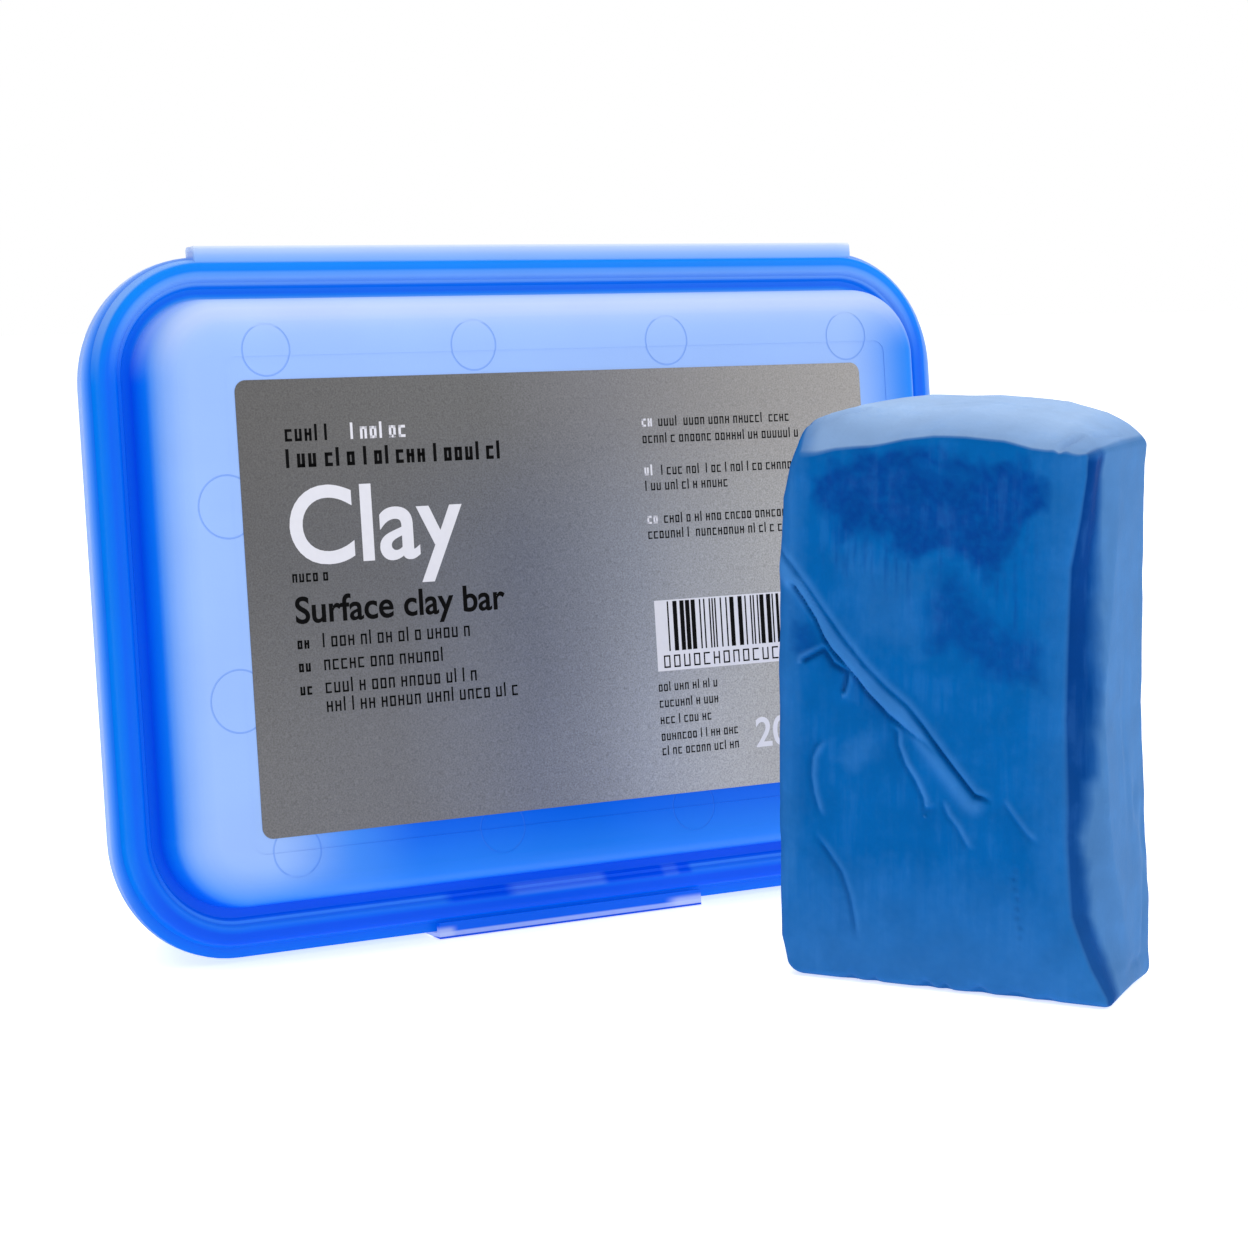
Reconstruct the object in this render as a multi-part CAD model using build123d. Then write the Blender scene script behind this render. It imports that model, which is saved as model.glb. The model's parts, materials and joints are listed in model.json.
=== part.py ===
from build123d import *
import os
from math import cos, radians, sin, tan

# Clay bar and its hinged storage case, in millimetres, +Z up.
# The case stands on its latch edge and leans back; the clay bar stands on end in front of it.
# The case is drawn upright (X along it, +Y from the lid to the base, Z up the lid) and then leaned.

# Whole case
CASE_LENGTH = 192.0
CASE_HEIGHT = 131.0
CORNER_RADIUS = 24.0
RIM_FOOT = 1.1              # height of the rim's lower edge above the latch tab's sole
LEAN = 6.68                 # degrees the case leans back
WALL = 1.3

# Lid: a stepped rim, a groove and a raised panel; insets are from the case's widest edge
LID_RIM_INSET = 2.0
LID_LIFT = 0.8              # the lid's steps sit this much above the base's centre
LID_RIM_RISE = 2.6
LID_RIM_LEAN = 0.6          # the rim's outer wall leans in by this much
LID_RIM_RADIUS = 1.5
LID_RIM_WALL = 1.3
LID_CREST_RADIUS = 0.8
LID_TUCK = 0.3              # the groove's wall reaches this far behind the parting line
LID_SKIN = 1.2
GROOVE_OUTER = 6.6
GROOVE_INNER = 7.6
GROOVE_TAPER = 0.6
GROOVE_WALL = 0.7
GROOVE_LAND = 0.9
PANEL_FOOT_INSET = 9.5
PANEL_FACE_INSET = 10.4
PANEL_RISE = 10.5
PANEL_EDGE_RADIUS = 4.5
RECESS_DEPTH = 0.15
RECESS_LENGTH = 149.0
RECESS_HEIGHT = 92.0
RECESS_RADIUS = 2.5

# Base: a flat flange, an upstand inside the lid's rim, and a tub with rounded back edges
FLANGE_FRONT = 0.1
FLANGE_BACK = 1.85
FLANGE_WIDTH = 5.2
MOUTH_STEP = 0.5            # the opening is wider in front of this depth, to clear the lid's groove
UPSTAND_INSET = 4.0
UPSTAND_TOP = -0.8
TUB_DEPTH = 32.0
TUB_BACK_RADIUS = 10.0
TUB_SIDE_DRAFT = 4.0        # hinge and latch sides
TUB_END_DRAFT = 19.0        # left and right ends
TUB_END_INSET = 6.0         # left and right ends at the flange

# Living hinge along the top edge
HINGE_LENGTH = 148.5
HINGE_OFFSET = 1.4          # the strip sits a little to the right of centre
HINGE_TOP = 134.1
HINGE_DEPTH = 2.0
HINGE_LAND = 0.8
HINGE_BEVEL = 0.5
HINGE_ROOT_OVERLAP = 0.6
FILM_WIDTH = 1.0
FILM_THICKNESS = 0.35

# Latch tab under the bottom edge
TAB_LENGTH = 60.0
TAB_OFFSET = -0.6
TAB_FRONT = -2.0
TAB_BACK = 3.8
TAB_PLATE = 1.1
TAB_SOLE = 0.9
HOOK_RISE = 2.2
HOOK_FRONT = 2.45
TAB_GAP = 0.25
HOOK_BEVEL = 0.6
CATCH_DEPTH = 1.5
CATCH_BACK = 4.4

# Label on the lid
LABEL_LENGTH = 140.5
LABEL_HEIGHT = 84.8
LABEL_RADIUS = 2.2
LABEL_THICKNESS = 0.12
LABEL_CENTRE = 66.0         # height of the label's centre above the sole, up the lid
RECESS_SHIFT = (2.3, 0.8)   # recess centre from the label's centre, along and up the lid

# Ring-shaped witness lines of the mould's pins, from the label's centre
PIN_LINE_WIDTH = 0.35
PIN_LINE_DEPTH = 0.1
PIN_DIAMETER = 10.0
PIN_COLUMNS = (-63.5, -19.9, 23.7, 67.3)
PIN_ROWS = (-45.1, 47.9)
END_PIN_DIAMETER = 12.0
END_PIN_COLUMNS = (-73.1, 76.9)
END_PIN_ROWS = (-16.5, 19.3)

# Clay bar: (height, left edge, front right edge, back right edge, front inset, back)
CLAY_CORNER = (11.0, -59.8)
CLAY_TURN = -57.19          # degrees from +X to the bar's front edge
CLAY_EDGE_RADIUS = 3.0
CLAY_SECTIONS = [
    (0.0, 2.6, 59.0, 59.5, 1.2, 25.6),
    (2.0, 1.0, 60.2, 61.0, 0.2, 27.0),
    (9.0, -0.6, 58.2, 60.4, 0.0, 28.2),
    (28.0, -1.7, 53.6, 58.0, 0.0, 29.0),
    (55.0, -2.0, 52.4, 56.0, 0.0, 29.2),
    (78.0, -1.9, 53.8, 56.0, 0.0, 29.0),
    (93.0, -0.4, 55.6, 56.6, 0.2, 28.4),
    (98.5, 1.0, 55.4, 56.0, 1.4, 28.0),
    (102.5, 4.0, 52.0, 53.0, 6.0, 26.6),
    (105.2, 10.0, 46.0, 47.0, 13.0, 22.0),
]

RIM_CENTRE = RIM_FOOT + CASE_HEIGHT / 2
SLOPE = tan(radians(LEAN))
CUT = 0.01                  # a cutting block stands this much proud of the face it cuts

os.makedirs("parts", exist_ok=True)


def outline(inset, side_inset=None, lift=0.0):
    """Rounded outline of the case, drawn in from its widest edge; a lift moves only its top edge."""
    along = inset if side_inset is None else side_inset
    radius = max(CORNER_RADIUS - (inset + along) / 2, 3.0)
    height = CASE_HEIGHT - 2 * inset + 2 * lift
    return Pos(0, lift) * RectangleRounded(CASE_LENGTH - 2 * along, height, radius)


def facing_plane(depth):
    """Plane across the case at a depth behind the parting line, drawn as seen from the front."""
    return Plane(origin=(0, depth, RIM_CENTRE), x_dir=(1, 0, 0), z_dir=(0, -1, 0))


def slab(front, back, inset, lift=0.0):
    """A flat slab of the case's outline between two depths."""
    return extrude(facing_plane(back) * outline(inset, lift=lift), back - front)


def frustum(front, back, front_inset, back_inset, front_side=None, back_side=None):
    """A block that tapers between two outlines."""
    near = facing_plane(front) * outline(front_inset, front_side)
    far = facing_plane(back) * outline(back_inset, back_side)
    return loft([near, far])


def lid_block(front, back, front_inset, back_inset):
    """A tapered block of the lid, with its top edge lifted."""
    near = facing_plane(front) * outline(front_inset, lift=LID_LIFT)
    far = facing_plane(back) * outline(back_inset, lift=LID_LIFT)
    return loft([near, far])


def edges_at(solid, depth):
    """The edges that lie in one plane across the case."""
    return solid.edges().filter_by_position(Axis.Y, depth - 0.01, depth + 0.01)


def case_lid():
    """Front half: a rounded rim, a groove, and a raised panel with a shallow recess for the label."""
    foot, wall_in = LID_RIM_INSET, LID_RIM_INSET + LID_RIM_WALL
    rim = lid_block(-LID_RIM_RISE, 0, foot + LID_RIM_LEAN, foot)
    rim = fillet(edges_at(rim, -LID_RIM_RISE), LID_RIM_RADIUS)
    rim -= lid_block(-LID_RIM_RISE + LID_SKIN, CUT, wall_in + GROOVE_WALL, wall_in)
    rim -= lid_block(-LID_RIM_RISE - CUT, CUT, GROOVE_OUTER - GROOVE_TAPER, GROOVE_INNER)
    crest = edges_at(rim, -LID_RIM_RISE).filter_by(
        lambda edge: outline_inset(edge.center()) > (foot + GROOVE_OUTER) / 2
    )
    rim = fillet(crest, LID_CREST_RADIUS)

    panel = lid_block(-PANEL_RISE, -GROOVE_LAND, PANEL_FACE_INSET, PANEL_FOOT_INSET)
    panel = fillet(edges_at(panel, -PANEL_RISE), PANEL_EDGE_RADIUS)
    inner_face, inner_foot = PANEL_FACE_INSET + LID_SKIN, PANEL_FOOT_INSET + LID_SKIN
    inner = lid_block(-PANEL_RISE + WALL, LID_TUCK + CUT, inner_face, inner_foot)
    inner = fillet(edges_at(inner, -PANEL_RISE + WALL), PANEL_EDGE_RADIUS - LID_SKIN)
    groove_front = -LID_RIM_RISE + LID_CREST_RADIUS
    groove = lid_block(groove_front, LID_TUCK, GROOVE_OUTER - GROOVE_WALL, GROOVE_OUTER)
    groove -= lid_block(-LID_RIM_RISE - CUT, -GROOVE_LAND, GROOVE_OUTER, GROOVE_INNER)
    lid = rim + (groove + panel - inner)

    panel_face = Plane(origin=(0, -PANEL_RISE, LABEL_CENTRE), x_dir=(1, 0, 0), z_dir=(0, -1, 0))
    recess = Pos(*RECESS_SHIFT) * RectangleRounded(RECESS_LENGTH, RECESS_HEIGHT, RECESS_RADIUS)
    lid -= extrude(panel_face * recess, -RECESS_DEPTH)
    for line in pin_lines():
        lid -= extrude(panel_face * line, -PIN_LINE_DEPTH)
        lid -= extrude(panel_face * (line & recess), -RECESS_DEPTH - PIN_LINE_DEPTH)
    return lid + hinge_land(-1)


def pin_lines():
    """Rings that the mould's pins leave around the label."""
    rings = [(x, y, PIN_DIAMETER) for x in PIN_COLUMNS for y in PIN_ROWS]
    rings += [(x, y, END_PIN_DIAMETER) for x in END_PIN_COLUMNS for y in END_PIN_ROWS]
    lines = []
    for x, y, diameter in rings:
        ring = Circle(diameter / 2) - Circle(diameter / 2 - PIN_LINE_WIDTH)
        lines.append(Pos(x, y) * ring)
    return lines


def outline_inset(point):
    """How far a point of the lid lies inside the case's outline, seen from the front."""
    over_x = abs(point.X) - (CASE_LENGTH / 2 - CORNER_RADIUS)
    over_z = abs(point.Z - RIM_CENTRE - LID_LIFT) - (CASE_HEIGHT / 2 + LID_LIFT - CORNER_RADIUS)
    reach = (max(over_x, 0) ** 2 + max(over_z, 0) ** 2) ** 0.5 + min(max(over_x, over_z), 0)
    return CORNER_RADIUS - reach


def hinge_land(side):
    """Half of the hinge strip: side -1 grows from the lid's rim, +1 from the base's flange."""
    root_top = RIM_FOOT + CASE_HEIGHT
    root = root_top - HINGE_ROOT_OVERLAP
    if side < 0:
        root += 2 * LID_LIFT - LID_RIM_INSET
    section = Polyline(
        (side * HINGE_DEPTH, root),
        (side * HINGE_DEPTH, HINGE_TOP - HINGE_BEVEL),
        (side * (HINGE_DEPTH - HINGE_BEVEL), HINGE_TOP),
        (side * FILM_WIDTH / 2, HINGE_TOP),
        (side * FILM_WIDTH / 2, HINGE_TOP - HINGE_LAND),
        (side * (HINGE_DEPTH - HINGE_LAND), HINGE_TOP - HINGE_LAND),
        (side * (HINGE_DEPTH - HINGE_LAND), root),
        close=True,
    )
    face = Plane.YZ.offset(HINGE_OFFSET - HINGE_LENGTH / 2) * make_face(section)
    return extrude(face, HINGE_LENGTH, dir=(1, 0, 0))


def hinge_film():
    """The thin film between the two halves of the hinge strip."""
    middle = HINGE_TOP - FILM_THICKNESS / 2
    return Pos(HINGE_OFFSET, 0, middle) * Box(HINGE_LENGTH - 1.0, FILM_WIDTH, FILM_THICKNESS)


def tub_inset():
    """Inset of the tub's walls at the flange that sets its latch-side back edge on the ground."""
    arc_depth = TUB_DEPTH - TUB_BACK_RADIUS
    arc_height = (TUB_BACK_RADIUS + arc_depth * sin(radians(LEAN))) / cos(radians(LEAN))
    draft = radians(TUB_SIDE_DRAFT)
    wall_height = arc_height - TUB_BACK_RADIUS / cos(draft)
    return wall_height - (arc_depth - FLANGE_BACK) * tan(draft) - RIM_FOOT


def tub(depth, grow, radius):
    """The tub's outer block, or with a negative grow the hollow inside it."""
    run = depth - FLANGE_BACK
    start = tub_inset() - grow
    side = start + run * tan(radians(TUB_SIDE_DRAFT))
    end_start = TUB_END_INSET - grow
    end = end_start + run * tan(radians(TUB_END_DRAFT))
    block = frustum(FLANGE_BACK, depth, start, side, end_start, end)
    return fillet(edges_at(block, depth), radius)


def case_base():
    """Back half: tub with a flange, an upstand that seals inside the lid's rim, and a catch."""
    shell = tub(TUB_DEPTH, 0.0, TUB_BACK_RADIUS)
    shell += slab(FLANGE_FRONT, FLANGE_BACK, 0)
    shell += slab(UPSTAND_TOP, FLANGE_BACK, UPSTAND_INSET, LID_LIFT)
    catch_top = RIM_FOOT + CATCH_DEPTH + WALL
    pocket = Pos(TAB_OFFSET, 0, 0) * Box(
        TAB_LENGTH + 2.0, CATCH_BACK - FLANGE_BACK, 2 * (RIM_FOOT + CATCH_DEPTH)
    )
    pocket = Pos(0, (CATCH_BACK + FLANGE_BACK) / 2, 0) * pocket
    ledge = Pos(TAB_OFFSET, (CATCH_BACK + WALL + FLANGE_BACK) / 2, catch_top / 2 + RIM_FOOT) * Box(
        TAB_LENGTH + 2.0 + 2 * WALL, CATCH_BACK + WALL - FLANGE_BACK, catch_top - RIM_FOOT
    )
    hollow = tub(TUB_DEPTH - WALL, -WALL, TUB_BACK_RADIUS - WALL)
    mouth_back = FLANGE_BACK + CUT
    throat = facing_plane(mouth_back) * outline(FLANGE_WIDTH, TUB_END_INSET + WALL)
    mouth = extrude(throat, mouth_back - UPSTAND_TOP)
    mouth += slab(UPSTAND_TOP - 1, MOUTH_STEP, FLANGE_WIDTH)
    mouth += slab(UPSTAND_TOP - 1, MOUTH_STEP, FLANGE_WIDTH, LID_LIFT)
    shell = shell - hollow - mouth + (ledge & tub(TUB_DEPTH, 0.0, TUB_BACK_RADIUS)) - pocket
    return shell + hinge_land(1)


def latch_tab():
    """Tab that hangs from the lid's rim, passes under the flange and hooks behind it."""
    top = RIM_FOOT + LID_RIM_INSET - TAB_GAP
    section = Polyline(
        (TAB_FRONT, TAB_FRONT * SLOPE),
        (TAB_BACK, TAB_BACK * SLOPE),
        (TAB_BACK, HOOK_RISE - HOOK_BEVEL),
        (TAB_BACK - HOOK_BEVEL, HOOK_RISE),
        (HOOK_FRONT, HOOK_RISE),
        (HOOK_FRONT, TAB_SOLE),
        (TAB_FRONT + TAB_PLATE, TAB_SOLE),
        (TAB_FRONT + TAB_PLATE, top),
        (TAB_FRONT, top),
        close=True,
    )
    face = Plane.YZ.offset(TAB_OFFSET - TAB_LENGTH / 2) * make_face(section)
    return extrude(face, TAB_LENGTH, dir=(1, 0, 0))


def lid_label():
    """Thin film label in the recess."""
    floor = -PANEL_RISE + RECESS_DEPTH
    plane = Plane(origin=(0, floor, LABEL_CENTRE), x_dir=(1, 0, 0), z_dir=(0, -1, 0))
    return extrude(plane * RectangleRounded(LABEL_LENGTH, LABEL_HEIGHT, LABEL_RADIUS), LABEL_THICKNESS)


def clay_bar():
    """Hand-pressed block, waisted on its right edge and domed at the top."""
    sections = []
    for height, left, front_right, back_right, front, back in CLAY_SECTIONS:
        corners = [(left, front), (front_right, front), (back_right, back), (left + 1.0, back)]
        quad = make_face(Polyline(*corners, close=True))
        sections.append(Plane.XY.offset(height) * fillet(quad.vertices(), CLAY_EDGE_RADIUS))
    bar = loft(sections, ruled=True)
    return Pos(*CLAY_CORNER, 0) * Rot(0, 0, CLAY_TURN) * bar


def lean(shape):
    """Lean a piece of the case back about the edge it stands on."""
    return Rot(-LEAN, 0, 0) * shape


case_pieces = {
    "case_lid": case_lid(),
    "case_base": case_base(),
    "hinge_film": hinge_film(),
    "latch_tab": latch_tab(),
    "lid_label": lid_label(),
}
for name, piece in case_pieces.items():
    export_step(lean(piece), f"parts/{name}.step")
export_step(clay_bar(), "parts/clay_bar.step")
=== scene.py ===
import json
import math
import random

import bmesh
import bpy
import numpy as np
from mathutils import Matrix, Vector, noise


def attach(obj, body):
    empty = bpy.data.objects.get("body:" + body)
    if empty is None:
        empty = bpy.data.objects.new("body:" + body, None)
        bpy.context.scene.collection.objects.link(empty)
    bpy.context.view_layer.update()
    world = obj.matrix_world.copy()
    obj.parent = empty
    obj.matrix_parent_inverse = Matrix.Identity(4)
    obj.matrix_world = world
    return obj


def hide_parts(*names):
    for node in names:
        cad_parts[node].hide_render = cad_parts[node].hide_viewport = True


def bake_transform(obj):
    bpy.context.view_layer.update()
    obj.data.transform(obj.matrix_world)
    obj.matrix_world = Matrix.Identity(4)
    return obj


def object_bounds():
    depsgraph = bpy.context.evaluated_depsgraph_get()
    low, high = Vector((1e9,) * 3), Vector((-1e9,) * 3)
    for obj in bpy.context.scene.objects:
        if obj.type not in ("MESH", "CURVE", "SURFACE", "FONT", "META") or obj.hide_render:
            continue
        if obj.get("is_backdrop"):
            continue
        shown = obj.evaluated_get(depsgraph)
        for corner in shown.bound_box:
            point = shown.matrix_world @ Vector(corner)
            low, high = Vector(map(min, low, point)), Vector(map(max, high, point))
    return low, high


# A block of detailing clay standing in front of its hinged, translucent storage case.
# The CAD frame gives every place and size. Lengths below are in millimetres unless named otherwise.

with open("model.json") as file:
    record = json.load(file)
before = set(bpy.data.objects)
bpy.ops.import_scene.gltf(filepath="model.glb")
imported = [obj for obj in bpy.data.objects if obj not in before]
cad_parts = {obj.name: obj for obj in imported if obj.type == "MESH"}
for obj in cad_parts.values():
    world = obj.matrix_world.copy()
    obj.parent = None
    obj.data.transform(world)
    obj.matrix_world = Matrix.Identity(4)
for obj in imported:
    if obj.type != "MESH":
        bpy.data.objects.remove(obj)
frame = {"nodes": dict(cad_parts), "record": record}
cad_low, cad_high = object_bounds()
bpy.ops.object.select_all(action="DESELECT")

MM = 0.001
nodes = frame["nodes"]
back_axis = next(m for m in frame["record"]["mounts"] if m["name"] == "base_back")["axis"]
LEAN = math.atan2(-back_axis[2], back_axis[1])
CASE_TO_ROW = Matrix.Rotation(-LEAN, 4, "X") @ Matrix.Scale(MM, 4)
ROW_TO_CASE = CASE_TO_ROW.inverted()


def case_box(node):
    """Lowest and highest corner of a CAD node in the case's own upright axes, in millimetres."""
    points = np.array([(ROW_TO_CASE @ v.co)[:] for v in nodes[node].data.vertices])
    return Vector(points.min(0)), Vector(points.max(0))


# ---------------------------------------------------------------- modelling helpers

def finished(piece, name, matrix=None):
    """Put the piece's place into its mesh and name it."""
    piece.data.transform(piece.matrix_world if matrix is None else matrix @ piece.matrix_world)
    piece.matrix_world = Matrix.Identity(4)
    piece.name = name
    piece.data.name = name
    piece.select_set(False)
    return piece


def only(piece):
    """Select one object and make it active."""
    bpy.ops.object.select_all(action="DESELECT")
    piece.select_set(True)
    bpy.context.view_layer.objects.active = piece


def block(low, high):
    """A cube stretched between two corners."""
    low, high = Vector(low), Vector(high)
    bpy.ops.mesh.primitive_cube_add(size=1.0, location=(low + high) / 2, scale=high - low)
    piece = bpy.context.active_object
    bpy.ops.object.transform_apply(location=True, rotation=True, scale=True)
    return piece


def cut_along(piece, axis, *cuts):
    """Subdivide only the edges that run along one axis, once for each number of cuts."""
    only(piece)
    for count in cuts:
        bpy.ops.object.mode_set(mode="EDIT")
        bpy.ops.mesh.select_mode(type="EDGE")
        bpy.ops.mesh.select_all(action="DESELECT")
        mesh = bmesh.from_edit_mesh(piece.data)
        for edge in mesh.edges:
            run = edge.verts[1].co - edge.verts[0].co
            edge.select_set(abs(run[axis]) > 0.9 * run.length)
        bmesh.update_edit_mesh(piece.data)
        bpy.ops.mesh.subdivide(number_cuts=count)
        bpy.ops.object.mode_set(mode="OBJECT")
    return piece


def smooth(piece, angle=40):
    """Smooth shading with hard edges kept above an angle."""
    only(piece)
    bpy.ops.object.shade_smooth_by_angle(angle=math.radians(angle))
    return piece


def joined(pieces):
    """Join several objects into the first one."""
    bpy.ops.object.select_all(action="DESELECT")
    for piece in pieces:
        piece.select_set(True)
    bpy.context.view_layer.objects.active = pieces[0]
    bpy.ops.object.join()
    return pieces[0]


# ---------------------------------------------------------------- node helpers

def feed(tree, socket, value):
    """Link a socket to a node's input, or set the input's value."""
    if isinstance(value, bpy.types.NodeSocket):
        tree.links.new(value, socket)
    else:
        socket.default_value = value


def add(tree, kind, **settings):
    """Add a node, set its properties, and set or link its inputs (given as in_NAME or in_NUMBER)."""
    node = tree.nodes.new(kind)
    for key, value in settings.items():
        if not key.startswith("in_"):
            setattr(node, key, value)
    for key, value in settings.items():
        if key.startswith("in_"):
            label = key[3:]
            feed(tree, node.inputs[int(label) if label.isdigit() else label.replace("_", " ")], value)
    return node


def maths(tree, operation, a, b=None, c=None, clamp=False):
    """A Math node; numbers or sockets in, a socket out."""
    settings = {"operation": operation, "use_clamp": clamp, "in_0": a}
    if b is not None:
        settings["in_1"] = b
    if c is not None:
        settings["in_2"] = c
    return add(tree, "ShaderNodeMath", **settings).outputs[0]


def step(tree, value, low, high):
    """A smooth step of value from 0 at low to 1 at high."""
    node = add(tree, "ShaderNodeMapRange", interpolation_type="SMOOTHSTEP", in_Value=value)
    node.inputs["From Min"].default_value = low
    node.inputs["From Max"].default_value = high
    return node.outputs[0]


def all_of(tree, *masks):
    """The product of several masks."""
    made = masks[0]
    for mask in masks[1:]:
        made = maths(tree, "MULTIPLY", made, mask)
    return made


def band(tree, value, start, full, end, gone):
    """A mask that is 1 from full to end and falls smoothly to 0 at start and at gone."""
    return all_of(tree, step(tree, value, start, full), step(tree, value, gone, end))


def centred(tree, value):
    """A 0 to 1 texture value moved so that its middle is at 0."""
    return maths(tree, "SUBTRACT", value, 0.5)


def object_place(tree):
    """The place of a point in the object's own axes, in metres."""
    return add(tree, "ShaderNodeTexCoord").outputs["Object"]


def mapped(tree, where, turn=(0, 0, 0), scale=(1, 1, 1)):
    """Coordinates stretched and then turned."""
    node = add(tree, "ShaderNodeMapping", vector_type="POINT", in_Vector=where)
    node.inputs["Rotation"].default_value = turn
    node.inputs["Scale"].default_value = scale
    return node.outputs[0]


def noise_value(tree, where, scale, detail):
    """The value of a Noise texture."""
    return add(tree, "ShaderNodeTexNoise", in_Vector=where, in_Scale=scale, in_Detail=detail).outputs[0]


def blend_colour(tree, factor, a, b):
    """A colour mix; factor is a number or socket, a and b are colours or sockets."""
    node = add(tree, "ShaderNodeMix", data_type="RGBA")
    for index, value in ((0, factor), (6, a), (7, b)):
        feed(tree, node.inputs[index], value)
    return node.outputs[2]


def scaled(tree, colour, factor):
    """A colour made lighter or darker."""
    return add(tree, "ShaderNodeVectorMath", operation="SCALE", in_0=colour, in_Scale=factor).outputs[0]


def ramp(tree, value, stops):
    """A colour ramp from (position, colour) stops."""
    node = add(tree, "ShaderNodeValToRGB", in_0=value)
    elements = node.color_ramp.elements
    while len(elements) > 1:
        elements.remove(elements[-1])
    elements[0].position, elements[0].color = stops[0]
    for position, colour in stops[1:]:
        elements.new(position).color = colour
    return node.outputs[0]


def tint(red, green, blue):
    """A display colour, 0 to 255, as a linear one."""
    linear = []
    for value in (red, green, blue):
        value /= 255
        linear.append(value / 12.92 if value <= 0.04045 else ((value + 0.055) / 1.055) ** 2.4)
    return (*linear, 1.0)


def group(name, inputs, outputs):
    """A shader node group with named values in and out, and its input and output nodes."""
    tree = bpy.data.node_groups.new(name, "ShaderNodeTree")
    for label, default in inputs.items():
        socket = tree.interface.new_socket(name=label, in_out="INPUT", socket_type="NodeSocketFloat")
        socket.default_value = default
    for label in outputs:
        tree.interface.new_socket(name=label, in_out="OUTPUT", socket_type="NodeSocketFloat")
    return tree, add(tree, "NodeGroupInput"), add(tree, "NodeGroupOutput")


def place_group(tree, made, **inputs):
    """Place a node group in a tree with its own values."""
    node = add(tree, "ShaderNodeGroup", node_tree=made)
    for label, value in inputs.items():
        feed(tree, node.inputs[label], value)
    return node


# ---------------------------------------------------------------- shared node groups

rim_low, rim_high = case_box("case_base")
label_low, label_high = case_box("lid_label")
film_low, film_high = case_box("hinge_film")
HALF_LENGTH = (rim_high.x - rim_low.x) / 2
RIM_FOOT = 1.1              # height of the base's rim at its foot
RIM_TOP = 132.1             # and at its top
LID_LIFT = 0.8              # half of what the lid's rim is taller by
CORNER = 24.0               # outer corner radius of the rims


def case_place_group(name, lift):
    """Where a point lies on the case: along, behind the parting line, up, and inset from the rim."""
    half_height = (RIM_TOP - RIM_FOOT) / 2 + lift
    tree, _, out = group(name, {}, ("Along", "Depth", "Up", "Inset"))
    upright = mapped(tree, object_place(tree), turn=(LEAN, 0, 0), scale=(1 / MM,) * 3)
    along, depth, up = add(tree, "ShaderNodeSeparateXYZ", in_0=upright).outputs
    over = []
    for value, half, centre in ((along, HALF_LENGTH, 0.0), (up, half_height, RIM_FOOT + half_height)):
        distance = maths(tree, "ABSOLUTE", maths(tree, "SUBTRACT", value, centre))
        over.append(maths(tree, "SUBTRACT", distance, half - CORNER))
    outside = [maths(tree, "MAXIMUM", value, 0.0) for value in over]
    squared = [maths(tree, "MULTIPLY", value, value) for value in outside]
    reach = maths(tree, "SQRT", maths(tree, "ADD", *squared))
    inside = maths(tree, "MINIMUM", maths(tree, "MAXIMUM", *over), 0.0)
    inset = maths(tree, "SUBTRACT", CORNER, maths(tree, "ADD", reach, inside))
    for index, socket in enumerate((along, depth, up, inset)):
        tree.links.new(socket, out.inputs[index])
    return tree


def moulded_group():
    """Fine texture of a moulded surface: a satin grain with faint flow marks."""
    outputs = ("Height", "Roughness shift", "Tone")
    tree, given, out = group("Moulded skin", {"Grain": 1.0, "Flow": 1.0}, outputs)
    where = object_place(tree)
    grain = centred(tree, noise_value(tree, where, 2600.0, 2.0))
    cloud = centred(tree, noise_value(tree, where, 55.0, 4.0))
    flow = centred(tree, noise_value(tree, mapped(tree, where, scale=(0.35, 1.0, 1.6)), 90.0, 3.0))
    fine = maths(tree, "MULTIPLY", grain, given.outputs["Grain"])
    wave = maths(tree, "MULTIPLY", flow, given.outputs["Flow"])
    for label, a, b in zip(outputs, (fine, cloud, cloud), (wave, fine, wave)):
        tree.links.new(maths(tree, "ADD", a, b), out.inputs[label])
    return tree


def scuff_group():
    """Thin straight scratches and dust specks from handling."""
    tree, given, out = group("Handling wear", {"Amount": 1.0}, ("Scratches", "Specks"))
    where = object_place(tree)
    lines = []
    for turn, fineness in ((0.5, 960.0), (-0.9, 1200.0)):
        drawn = mapped(tree, where, turn=(0.0, turn, 0.3), scale=(0.04, 1.0, 1.0))
        lines.append(step(tree, noise_value(tree, drawn, fineness, 0.0), 0.74, 0.8))
    specks = add(tree, "ShaderNodeTexVoronoi", in_Vector=where, in_Scale=160.0)
    dots = step(tree, specks.outputs["Distance"], 0.045, 0.015)
    for name, socket in (("Scratches", maths(tree, "MAXIMUM", *lines)), ("Specks", dots)):
        tree.links.new(maths(tree, "MULTIPLY", socket, given.outputs["Amount"]), out.inputs[name])
    return tree


BASE_PLACE = case_place_group("Place on base", 0.0)
LID_PLACE = case_place_group("Place on lid", LID_LIFT)
MOULDED = moulded_group()
WEAR = scuff_group()


def material(name):
    """A new node material with its tree and its Principled shader."""
    made = bpy.data.materials.new(name)
    made.use_nodes = True
    return made, made.node_tree, made.node_tree.nodes["Principled BSDF"]


def wear_material(piece, surface):
    """Give a piece one material."""
    piece.data.materials.clear()
    piece.data.materials.append(surface)


def wire(tree, shader, **inputs):
    """Set or link the shader's inputs."""
    for label, value in inputs.items():
        feed(tree, shader.inputs[label.replace("_", " ")], value)


def bump(tree, height, strength, distance):
    """A Bump node's normal."""
    node = add(tree, "ShaderNodeBump", in_Height=height, in_Strength=strength, in_Distance=distance)
    return node.outputs[0]


# ---------------------------------------------------------------- materials of the case

RAMP_START, RAMP_LENGTH = -2.5, 22.5        # insets that a colour ramp covers
PLASTIC_IOR = 1.49
PLASTIC_SPECULAR = 0.04                     # a satin surface hardly mirrors its surroundings
PAINTED_GLOW = 0.35                                 # share of the colour given off as painted glow, in place of light spread inside the wall
CLOUDING, TONE = 0.08, 0.93


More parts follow.
